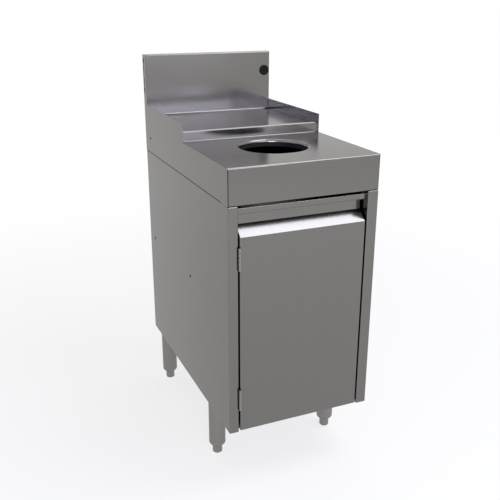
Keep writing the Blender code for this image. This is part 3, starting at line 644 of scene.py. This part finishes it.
for place_y in (flange_start, flange_end):
    bpy.ops.mesh.select_all(action="SELECT")
    bpy.ops.mesh.bisect(plane_co=(0, place_y, 0), plane_no=(0, 1, 0))
pick(
    left_end,
    "EDGE",
    lambda edge: middle(edge).z < low.z + NEAR and flange_start < middle(edge).y < flange_end,
)
bpy.ops.mesh.extrude_region_move(TRANSFORM_OT_translate={"value": (FLANGE, 0, 0)})
pick(left_end, "EDGE", is_fold)
round_off(FOLD)
give_thickness(left_end)
drill(left_end, (low.x, BOLT_PLACES[0], SKIRT_BOLT_HEIGHT), BOLT_HOLE, (0, math.pi / 2, 0))
for slot_z, width, length in SLOTS:
    slot_low = (low.x - SLOT_REACH, SLOT_Y - width / 2, slot_z - length / 2)
    slot_high = (low.x + SLOT_REACH, SLOT_Y + width / 2, slot_z + length / 2)
    slot = block("slot", slot_low, slot_high)
    pick(slot, "EDGE", lambda edge: runs(edge, 0))
    round_off(SLOT_END * width, 8)
    cut_away(left_end, slot)
right_end = copied(left_end, "end_plate_right")
bpy.ops.object.mode_set(mode="EDIT")
bpy.ops.mesh.select_all(action="SELECT")
bpy.ops.transform.resize(value=(-1, 1, 1), center_override=(0, 0, 0))
bpy.ops.mesh.normals_make_consistent(inside=False)
bpy.ops.object.mode_set(mode="OBJECT")
for piece, node in ((left_end, "end_skirt_left"), (right_end, "end_skirt_right")):
    smooth(piece, along_satin)
    stands_for(piece, node, "cabinet")

# Cover of the backsplash
# A shallow stainless tray that closes the back of the hollow backsplash and of the top, held by six
# pan-head screws with crossed slots.
SCREW_FROM_END = 0.0140
SCREW_FROM_EDGE = 0.0120
SCREW_SEAT = 0.0014
CROSS_HALF = 0.0021
CROSS_WIDTH = 0.0008
CROSS_FLOOR = 0.0005
CROSS_TOP = 0.0030

cover = folded_tray("backsplash_cover", *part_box("backsplash_back"), [(0, -1, 0)], TIGHT_FOLD)
smooth(cover, across_satin)
stands_for(cover, "backsplash_back", "cabinet")


def pan_screw(name, centre, axis, side):
    """A pan-head screw that stands on the point given, its head along the axis."""
    section = [(0, 0.0), (0.0036, 0.0), (0.0036, 0.0004), (0.0034, 0.0008), (0.0027, 0.0011), (0, 0.0013)]
    screw = turned(name, section, centre, 32, axis, side)
    centre = Vector(centre)
    axis = Vector(axis)
    side = Vector(side)
    cross = axis.cross(side)
    for along, over in ((side, cross), (cross, side)):
        reach = along * CROSS_HALF + over * CROSS_WIDTH / 2
        ends = [centre + axis * CROSS_FLOOR + reach, centre + axis * CROSS_TOP - reach]
        corner = [[min(a, b) for a, b in zip(*ends)], [max(a, b) for a, b in zip(*ends)]]
        cut_away(screw, box_cutter(*corner))
    return screw


low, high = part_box("backsplash_back")
cover_screws = []
for x in (low.x + SCREW_FROM_END, 0, high.x - SCREW_FROM_END):
    for z in (low.z + SCREW_FROM_EDGE, high.z - SCREW_FROM_EDGE):
        cover_screws.append(pan_screw("cover_screw", (x, high.y - SCREW_SEAT, z), (0, 1, 0), (1, 0, 0)))
cover_screws = joined(cover_screws, "cover_screws")
smooth(cover_screws, bolt_steel)
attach(cover_screws, "cabinet")

# Chute collar
# A black rubber ring pushed up round the lip of the waste hole from below. It covers the raw edge and
# guides what is dropped into the bin.
COLLAR_GAP = 0.0003
COLLAR_WALL = 0.0030
COLLAR_FLANGE = 0.0110
COLLAR_UNDER = -0.0045
COLLAR_FOOT = -0.0170
FLANGE_EDGE = 0.0006
FOOT_EDGE = 0.0007


def black_polymer(name, mottling, tones, span, roughness, specular, grain, relief):
    """Black rubber or plastic, a little mottled in tone and gloss, with a fine relief."""
    material = bpy.data.materials.new(name)
    material.use_nodes = True
    nodes = material.node_tree.nodes
    link = material.node_tree.links.new
    shader = nodes["Principled BSDF"]
    shader.inputs["Specular IOR Level"].default_value = specular
    place = nodes.new("ShaderNodeTexCoord")
    mottle = nodes.new("ShaderNodeTexNoise")
    mottle.inputs["Scale"].default_value = mottling[0]
    mottle.inputs["Detail"].default_value = mottling[1]
    tone = nodes.new("ShaderNodeValToRGB")
    for stop in (0, 1):
        tone.color_ramp.elements[stop].position = span[stop]
        tone.color_ramp.elements[stop].color = (*tones[stop], 1)
    rough = nodes.new("ShaderNodeMapRange")
    rough.inputs["To Min"].default_value = roughness[0]
    rough.inputs["To Max"].default_value = roughness[1]
    bump = nodes.new("ShaderNodeBump")
    bump.inputs["Strength"].default_value = relief
    bump.inputs["Distance"].default_value = 0.0002
    height = mottle.outputs["Fac"]
    if grain:
        kind, output, scale = grain
        pores = nodes.new(kind)
        pores.inputs["Scale"].default_value = scale
        link(place.outputs["Object"], pores.inputs["Vector"])
        height = pores.outputs[output]
    link(place.outputs["Object"], mottle.inputs["Vector"])
    link(mottle.outputs["Fac"], tone.inputs["Fac"])
    link(tone.outputs["Color"], shader.inputs["Base Color"])
    link(mottle.outputs["Fac"], rough.inputs["Value"])
    link(rough.outputs["Result"], shader.inputs["Roughness"])
    link(height, bump.inputs["Height"])
    link(bump.outputs["Normal"], shader.inputs["Normal"])
    return material


black_rubber = black_polymer(
    "black_rubber_matt",
    mottling=(38.0, 5.0),
    tones=((0.010, 0.010, 0.011), (0.021, 0.021, 0.022)),
    span=(0.35, 0.75),
    roughness=(0.50, 0.70),
    specular=0.15,
    grain=("ShaderNodeTexNoise", "Fac", 1500.0),
    relief=0.15,
)

collar_flat = HOLE_RADIUS + HOLE_FOLD
collar_inner = HOLE_RADIUS + SHEET + COLLAR_GAP
collar_outer = collar_inner + COLLAR_WALL
collar_flange = collar_flat + COLLAR_FLANGE
collar_top = -SHEET - COLLAR_GAP
# It follows the drawn edge of the hole, then runs out to a flange and down to a foot
collar_section = arc(collar_flat - collar_inner, 180, 90, 9, (collar_flat, -HOLE_FOLD))
collar_section += [
    (collar_flange - FLANGE_EDGE, collar_top),
    (collar_flange, collar_top - FLANGE_EDGE),
    (collar_flange, COLLAR_UNDER + FLANGE_EDGE),
    (collar_flange - FLANGE_EDGE, COLLAR_UNDER),
    (collar_outer + 0.0012, COLLAR_UNDER),
    (collar_outer + 0.0003, COLLAR_UNDER - 0.0004),
    (collar_outer, COLLAR_UNDER - 0.0013),
    (collar_outer, COLLAR_FOOT + FOOT_EDGE),
    (collar_outer - FOOT_EDGE, COLLAR_FOOT),
    (collar_inner + FOOT_EDGE, COLLAR_FOOT),
    (collar_inner, COLLAR_FOOT + FOOT_EDGE),
    (collar_inner, -HOLE_FOLD),
]
collar = turned("chute_collar_ring", collar_section, HOLE_CENTRE, 96)
smooth(collar, black_rubber)
stands_for(collar, "chute_collar", "cabinet")

# Plug in the backsplash
# A black nylon plug with a domed flange, snapped into the pipe hole that this unit doesn't use.
PLUG_GAP = 0.0003
PLUG_RIM = 0.0011
PLUG_RADIUS = 0.0138
PLUG_BODY = 0.0117
PLUG_BORE = 0.0097
PLUG_DEPTH = 0.0090

black_nylon = black_polymer(
    "black_nylon_smooth",
    mottling=(160.0, 3.0),
    tones=((0.006, 0.006, 0.0055), (0.013, 0.013, 0.012)),
    span=(0.0, 1.0),
    roughness=(0.26, 0.38),
    specular=0.08,
    grain=None,
    relief=0.04,
)

# A dished face inside a domed rim, and a hollow shank behind
plug_section = [(0, 0.0013), (0.0062, 0.0013), (0.0070, 0.0015), (0.0078, 0.0022)]
plug_section += arc(PLUG_RIM, 90, 0, 6, (PLUG_RADIUS - PLUG_RIM, PLUG_RIM))
plug_section += [
    (PLUG_RADIUS, 0),
    (PLUG_BODY, 0),
    (PLUG_BODY, -0.0072),
    (PLUG_BODY - 0.0004, -PLUG_DEPTH),
    (PLUG_BORE, -PLUG_DEPTH),
    (PLUG_BORE, 0),
    (0, 0),
]
plug_seat = (PLUG_PLACE[0], PLUG_PLACE[1] - PLUG_GAP, PLUG_PLACE[2])
plug = turned("pipe_hole_plug", plug_section, plug_seat, 64, axis=(0, -1, 0), side=(1, 0, 0))
smooth(plug, black_nylon)
stands_for(plug, "hole_plug", "cabinet")

# Waste bin
# A moulded black bin that stands loose on the shelf under the hole, tapered to stack, with a rolled rim and
# two ribs moulded round it below the rim.
BIN_WALL = 0.0022
BIN_RIM = 0.0090
BIN_RIM_DROP = 0.0120
BIN_TAPER = 0.0220
BIN_CORNER = 0.0300
BIN_FOOT_ROUND = 0.0080
BIN_RIM_ROUND = 0.0025
RIB_FEET = (0.5400, 0.5650)
RIB_HEIGHT = 0.0060
RIB_PROUD = 0.0018

bin_plastic = black_polymer(
    "bin_moulded_black",
    mottling=(14.0, 6.0),
    tones=((0.015, 0.015, 0.016), (0.032, 0.032, 0.033)),
    span=(0.35, 0.75),
    roughness=(0.42, 0.62),
    specular=0.5,
    grain=("ShaderNodeTexVoronoi", "Distance", 900.0),
    relief=0.12,
)

low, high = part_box("waste_bin")
rim = BIN_RIM + BIN_WALL
bin_low = Vector((low.x + rim, low.y + rim, low.z))
bin_high = Vector((high.x - rim, high.y - rim, high.z))
bin_middle = (bin_low + bin_high) / 2
bin_half = (bin_high - bin_low) / 2
waste_bin = block("bin", bin_low, bin_high)
pick(waste_bin, "VERT", lambda vert: vert.co.z < low.z + NEAR)
narrowing = (1 - BIN_TAPER / bin_half.x, 1 - BIN_TAPER / bin_half.y, 1)
bpy.ops.transform.resize(value=narrowing, center_override=bin_middle)
open_side(waste_bin, (0, 0, 1))
pick(waste_bin, "EDGE", lambda edge: is_fold(edge) and runs(edge, 2))
round_off(BIN_CORNER, 8)
pick(waste_bin, "EDGE", lambda edge: is_fold(edge) and max(vert.co.z for vert in edge.verts) < low.z + NEAR)
round_off(BIN_FOOT_ROUND, 4)
for rib_foot in RIB_FEET:
    rib_top = rib_foot + RIB_HEIGHT
    for cut in (rib_foot, rib_top):
        bpy.ops.mesh.select_all(action="SELECT")
        bpy.ops.mesh.bisect(plane_co=(0, 0, cut), plane_no=(0, 0, 1))
    pick(
        waste_bin,
        "FACE",
        lambda face: rib_foot < middle(face).z < rib_top and abs(face.normal.z) < 0.5,
    )
    bpy.ops.mesh.extrude_region_shrink_fatten(TRANSFORM_OT_shrink_fatten={"value": RIB_PROUD})
pick(waste_bin, "EDGE", lambda edge: edge.is_boundary)
bpy.ops.mesh.extrude_region_move(TRANSFORM_OT_translate={"value": (0, 0, 0)})
widening = (1 + BIN_RIM / bin_half.x, 1 + BIN_RIM / bin_half.y, 1)
bpy.ops.transform.resize(value=widening, center_override=bin_middle)
bpy.ops.mesh.extrude_region_move(TRANSFORM_OT_translate={"value": (0, 0, -BIN_RIM_DROP)})
pick(
    waste_bin,
    "EDGE",
    lambda edge: is_fold(edge) and min(vert.co.z for vert in edge.verts) > bin_high.z - NEAR,
)
round_off(BIN_RIM_ROUND, 4)
give_thickness(waste_bin, BIN_WALL)
smooth(waste_bin, bin_plastic)
stands_for(waste_bin, "waste_bin", "cabinet")

# Door
# A hollow stainless door: a folded skin with a sloped finger pull along its top, and a liner tray welded in
# behind it.
PULL_BACK = -0.27555
PULL_FOOT = 0.6398
NOSE = 0.6176
DOOR_END_FOLD = 0.0020
PULL_FOLD = 0.0025
NOSE_FOLD = 0.0032

door_satin = satin_steel("door_satin", (GRAIN, GRAIN_RUN, GRAIN_RUN), STEEL, SATIN)

low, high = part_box("door_skin")
door = block("door_panel", low, high)
for cut in (NOSE, PULL_FOOT):
    bpy.ops.mesh.select_all(action="SELECT")
    bpy.ops.mesh.bisect(plane_co=(0, 0, cut), plane_no=(0, 0, 1))
pick(door, "VERT", lambda vert: vert.co.y < low.y + NEAR and vert.co.z > PULL_FOOT - NEAR)
bpy.ops.transform.translate(value=(0, PULL_BACK - low.y, 0))
open_side(door, (0, 1, 0))
bpy.ops.mesh.select_all(action="SELECT")
bpy.ops.mesh.dissolve_limited(angle_limit=math.radians(0.2))
for fold_y, fold_z, radius in (
    (PULL_BACK, PULL_FOOT, PULL_FOLD),
    (low.y, NOSE, NOSE_FOLD),
    (low.y, low.z, FOLD),
):
    fold = Vector((0, fold_y, fold_z))
    pick(door, "EDGE", lambda edge: runs(edge, 0) and (middle(edge) - fold).length < 1e-5)
    round_off(radius, 6)
pick(
    door,
    "EDGE",
    lambda edge: is_fold(edge) and abs(edge.verts[0].co.x - edge.verts[1].co.x) < NEAR,
)
round_off(DOOR_END_FOLD, 4)
give_thickness(door)
smooth(door, door_satin)
stands_for(door, "door_skin", "door")

liner = folded_tray("door_inner_panel", *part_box("door_liner"), [(0, -1, 0)], TIGHT_FOLD)
smooth(liner, door_satin)
stands_for(liner, "door_liner", "door")

# Hinges
# Stainless butt hinges let in between the stile and the door, so that only their barrels show. Each has five
# knuckles: three belong to the leaf on the stile and two to the leaf on the door, with a pin through them.
BARREL_RADIUS = 0.00347
PIN_RADIUS = 0.0016
LEAF = 0.0011
LEAF_CORNER = 0.0040
LEAF_PLAY = 0.0001
LEAF_LEAD = 0.0003
KNUCKLES = 5
KNUCKLE_GAP = 0.0003
KNUCKLE_EDGE = 0.0003
PIN_PLAY = 0.0001
STRIP_PLAY = 0.0004
FRONT = -0.30055

hinge_satin = satin_steel("hinge_satin", (900, 900, 60), (0.25, 0.246, 0.238), 0.27)

knuckle_section = [
    (PIN_RADIUS + PIN_PLAY, -0.5),
    (BARREL_RADIUS - KNUCKLE_EDGE, -0.5),
    (BARREL_RADIUS, -0.46),
    (BARREL_RADIUS, 0.46),
    (BARREL_RADIUS - KNUCKLE_EDGE, 0.5),
    (PIN_RADIUS + PIN_PLAY, 0.5),
    (PIN_RADIUS + PIN_PLAY, -0.5),
]


def hinge_leaf(name, axis, half, side, knuckles, tail):
    """One leaf: a plate with rounded corners and its knuckles, side by side along the pin."""
    near = axis.x + side * LEAF_PLAY
    far = near + side * LEAF
    low = Vector((min(near, far), FRONT - LEAF_LEAD, axis.z - half))
    high = Vector((max(near, far), tail, axis.z + half))
    leaf = block(name, low, high)
    pick(leaf, "EDGE", lambda edge: runs(edge, 0) and middle(edge).y > tail - NEAR)
    round_off(LEAF_CORNER, 5)
    take_up(leaf)
    solids = [leaf]
    pitch = 2 * half / KNUCKLES
    for i in knuckles:
        below = axis.z - half + i * pitch + (KNUCKLE_GAP / 2 if i > 0 else 0)
        above = axis.z - half + (i + 1) * pitch - (KNUCKLE_GAP / 2 if i < KNUCKLES - 1 else 0)
        length = above - below
        centre = (axis.x, axis.y, (below + above) / 2)
        section = [(radius, height * length) for radius, height in knuckle_section]
        solids.append(turned(name + "_knuckle", section, centre, 32))
        strip_low = (low.x, axis.y + PIN_RADIUS + STRIP_PLAY, below)
        strip = block(name + "_strip", strip_low, (high.x, FRONT, above))
        take_up(strip)
        solids.append(strip)
    return joined(solids, name)


for place in ("upper", "lower"):
    name = "hinge_" + place
    low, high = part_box(name + "_pin")
    axis = (low + high) / 2
    half = (high.z - low.z) / 2
    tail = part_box(name + "_frame_leaf")[1].y
    frame_leaf = hinge_leaf(name + "_stile_leaf", axis, half, -1, (0, 2, 4), tail)
    door_leaf = hinge_leaf(name + "_swing_leaf", axis, half, 1, (1, 3), tail)
    pin_section = [(0, -half), (0.0009, -half), (0.0014, -half + 0.0003), (PIN_RADIUS, -half + 0.0007)]
    pin_section += [(radius, -height) for radius, height in reversed(pin_section)]
    pin = turned(name + "_rod", pin_section, axis, 32)
    for piece, node, body in (
        (frame_leaf, "_frame_leaf", "cabinet"),
        (door_leaf, "_door_leaf", "door"),
        (pin, "_pin", "cabinet"),
    ):
        smooth(piece, hinge_satin)
        stands_for(piece, name + node, body)

# Magnetic catch
# A black nylon housing screwed up under the rail, with the edges of two steel pole plates in its face, and a
# small steel strike plate on the door's liner.
HOUSING_CORNER = 0.0030
HOUSING_EDGE = 0.0005
POLE_OFFSETS = (-0.0030, 0.0030)
POLE_HALF = 0.0148
POLE_HALF_THICKNESS = 0.0006
POLE_FRONT = 0.0003
POLE_BACK = 0.0014
POLE_SLOT_HALF = 0.0150
POLE_SLOT_HALF_THICKNESS = 0.00075
POLE_SLOT_DEPTH = 0.0010
POLE_EDGE = 0.0002
CATCH_SCREW_FROM_END = 0.0045
CATCH_SCREW_SINK = 0.0004
STRIKE_CORNER = 0.0020
STRIKE_EDGE = 0.0003

low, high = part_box("catch_body")
catch = block("catch_housing", low, high)
pick(catch, "EDGE", lambda edge: runs(edge, 1))
round_off(HOUSING_CORNER, 5)
pick(catch, "EDGE", lambda edge: is_fold(edge) and not runs(edge, 1))
round_off(HOUSING_EDGE, 2)
take_up(catch)
catch_middle = (low + high) / 2
for offset in POLE_OFFSETS:
    z = catch_middle.z + offset
    slot_low = (catch_middle.x - POLE_SLOT_HALF, low.y - OVERCUT, z - POLE_SLOT_HALF_THICKNESS)
    slot_high = (catch_middle.x + POLE_SLOT_HALF, low.y + POLE_SLOT_DEPTH, z + POLE_SLOT_HALF_THICKNESS)
    cut_away(catch, box_cutter(slot_low, slot_high))
smooth(catch, black_nylon)
stands_for(catch, "catch_body", "cabinet")

poles = []
for offset in POLE_OFFSETS:
    z = catch_middle.z + offset
    pole_low = (catch_middle.x - POLE_HALF, low.y + POLE_FRONT, z - POLE_HALF_THICKNESS)
    pole_high = (catch_middle.x + POLE_HALF, low.y + POLE_BACK, z + POLE_HALF_THICKNESS)
    pole = block("pole", pole_low, pole_high)
    pick(pole, "EDGE", is_fold)
    round_off(POLE_EDGE, 2)
    take_up(pole)
    poles.append(pole)
for x in (low.x + CATCH_SCREW_FROM_END, high.x - CATCH_SCREW_FROM_END):
    screw_foot = (x, catch_middle.y, low.z + CATCH_SCREW_SINK)
    poles.append(pan_screw("catch_screw", screw_foot, (0, 0, -1), (1, 0, 0)))
catch_steel = joined(poles, "catch_poles_and_screws")
smooth(catch_steel, hinge_satin)
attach(catch_steel, "cabinet")

low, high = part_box("catch_strike")
strike = block("catch_plate", low, high)
pick(strike, "EDGE", lambda edge: runs(edge, 1))
round_off(STRIKE_CORNER, 5)
pick(strike, "EDGE", lambda edge: is_fold(edge) and not runs(edge, 1) and middle(edge).y > high.y - NEAR)
round_off(STRIKE_EDGE, 2)
take_up(strike)
smooth(strike, hinge_satin)
stands_for(strike, "catch_strike", "door")

# Studio
# A plain white floor and white air, two soft boxes overhead, three windows in front of the unit, and the
# camera where the photograph was taken from.
bpy.ops.object.select_all(action="DESELECT")
bpy.ops.mesh.primitive_grid_add(x_subdivisions=2, y_subdivisions=2, size=120, location=(0, 0, 0))
floor = bpy.context.object
floor.name = "studio_floor"


def white_to_the_eye(tree):
    """1 for rays from the camera, from gloss or through glass, and 0 for those that carry light."""
    path = tree.nodes.new("ShaderNodeLightPath")
    value = path.outputs["Is Camera Ray"]
    for other in ("Is Glossy Ray", "Is Transmission Ray"):
        either = tree.nodes.new("ShaderNodeMath")
        either.operation = "MAXIMUM"
        tree.links.new(value, either.inputs[0])
        tree.links.new(path.outputs[other], either.inputs[1])
        value = either.outputs["Value"]
    return value


floor_white = bpy.data.materials.new("floor_white")
floor_white.use_nodes = True
nodes = floor_white.node_tree.nodes
link = floor_white.node_tree.links.new
nodes.remove(nodes["Principled BSDF"])
matt = nodes.new("ShaderNodeBsdfDiffuse")
matt.inputs["Color"].default_value = (0.25, 0.25, 0.25, 1)
place = nodes.new("ShaderNodeTexCoord")
away = nodes.new("ShaderNodeVectorMath")
away.operation = "LENGTH"
spread = nodes.new("ShaderNodeMapRange")
spread.interpolation_type = "SMOOTHSTEP"
spread.inputs["From Min"].default_value = 0.6
spread.inputs["From Max"].default_value = 3.0
spread.inputs["To Min"].default_value = 0.74
spread.inputs["To Max"].default_value = 0.88
lift = nodes.new("ShaderNodeMath")
lift.operation = "MULTIPLY"
glow = nodes.new("ShaderNodeEmission")
both = nodes.new("ShaderNodeAddShader")
link(place.outputs["Object"], away.inputs[0])
link(away.outputs["Value"], spread.inputs["Value"])
link(white_to_the_eye(floor_white.node_tree), lift.inputs[0])
link(spread.outputs["Result"], lift.inputs[1])
link(lift.outputs["Value"], glow.inputs["Strength"])
link(matt.outputs["BSDF"], both.inputs[0])
link(glow.outputs["Emission"], both.inputs[1])
link(both.outputs["Shader"], nodes["Material Output"].inputs["Surface"])
floor.data.materials.append(floor_white)

world = bpy.data.worlds.new("studio_air")
bpy.context.scene.world = world
world.use_nodes = True
nodes = world.node_tree.nodes
link = world.node_tree.links.new
level = nodes.new("ShaderNodeMapRange")
level.inputs["To Min"].default_value = 0.50
level.inputs["To Max"].default_value = 1.0
nodes["Background"].inputs["Color"].default_value = (1, 1, 1, 1)
link(white_to_the_eye(world.node_tree), level.inputs["Value"])
link(level.outputs["Result"], nodes["Background"].inputs["Strength"])


def soft_box(name, place, target, width, height, radiance, colour):
    """A flat lamp that faces a point. Its light is set as the brightness of its face."""
    lamp = bpy.data.lights.new(name, "AREA")
    lamp.shape = "RECTANGLE"
    lamp.size = width
    lamp.size_y = height
    lamp.energy = radiance * math.pi * width * height
    lamp.color = colour
    stand = bpy.data.objects.new(name, lamp)
    bpy.context.scene.collection.objects.link(stand)
    stand.location = place
    stand.rotation_euler = (Vector(target) - Vector(place)).to_track_quat("-Z", "Y").to_euler()


soft_box("overhead_box", (0.97, -0.75, 2.55), (0, -0.28, 0.63), 1.3, 1.3, 5.0, (0.84, 0.87, 1.0))
soft_box("rear_box", (0.60, 0.90, 2.55), (0, 0.1, 0.7), 1.2, 0.8, 1.6, (0.93, 0.94, 1.0))
soft_box("low_window", (0.82, -3.02, 1.12), (0, 0.05, 0.79), 1.13, 0.22, 13.0, (0.74, 0.75, 1.0))
soft_box("high_window", (1.17, -2.77, 1.75), (0, 0.05, 0.79), 2.65, 0.50, 2.4, (0.86, 0.86, 1.0))
soft_box("side_window", (-1.02, -2.92, 1.40), (0, 0.05, 0.79), 1.24, 0.56, 20.0, (0.71, 0.72, 1.0))

camera = bpy.data.cameras.new("photograph")
camera.sensor_width = 36
camera.lens = 50.603
tripod = bpy.data.objects.new("photograph", camera)
bpy.context.scene.collection.objects.link(tripod)
tripod.location = (-0.66852, -1.56119, 1.08631)
tripod.rotation_euler = (math.radians(90 - 19.962), math.radians(-0.09), math.radians(-23.13))
bpy.context.scene.camera = tripod
bpy.context.scene.view_settings.view_transform = "Standard"
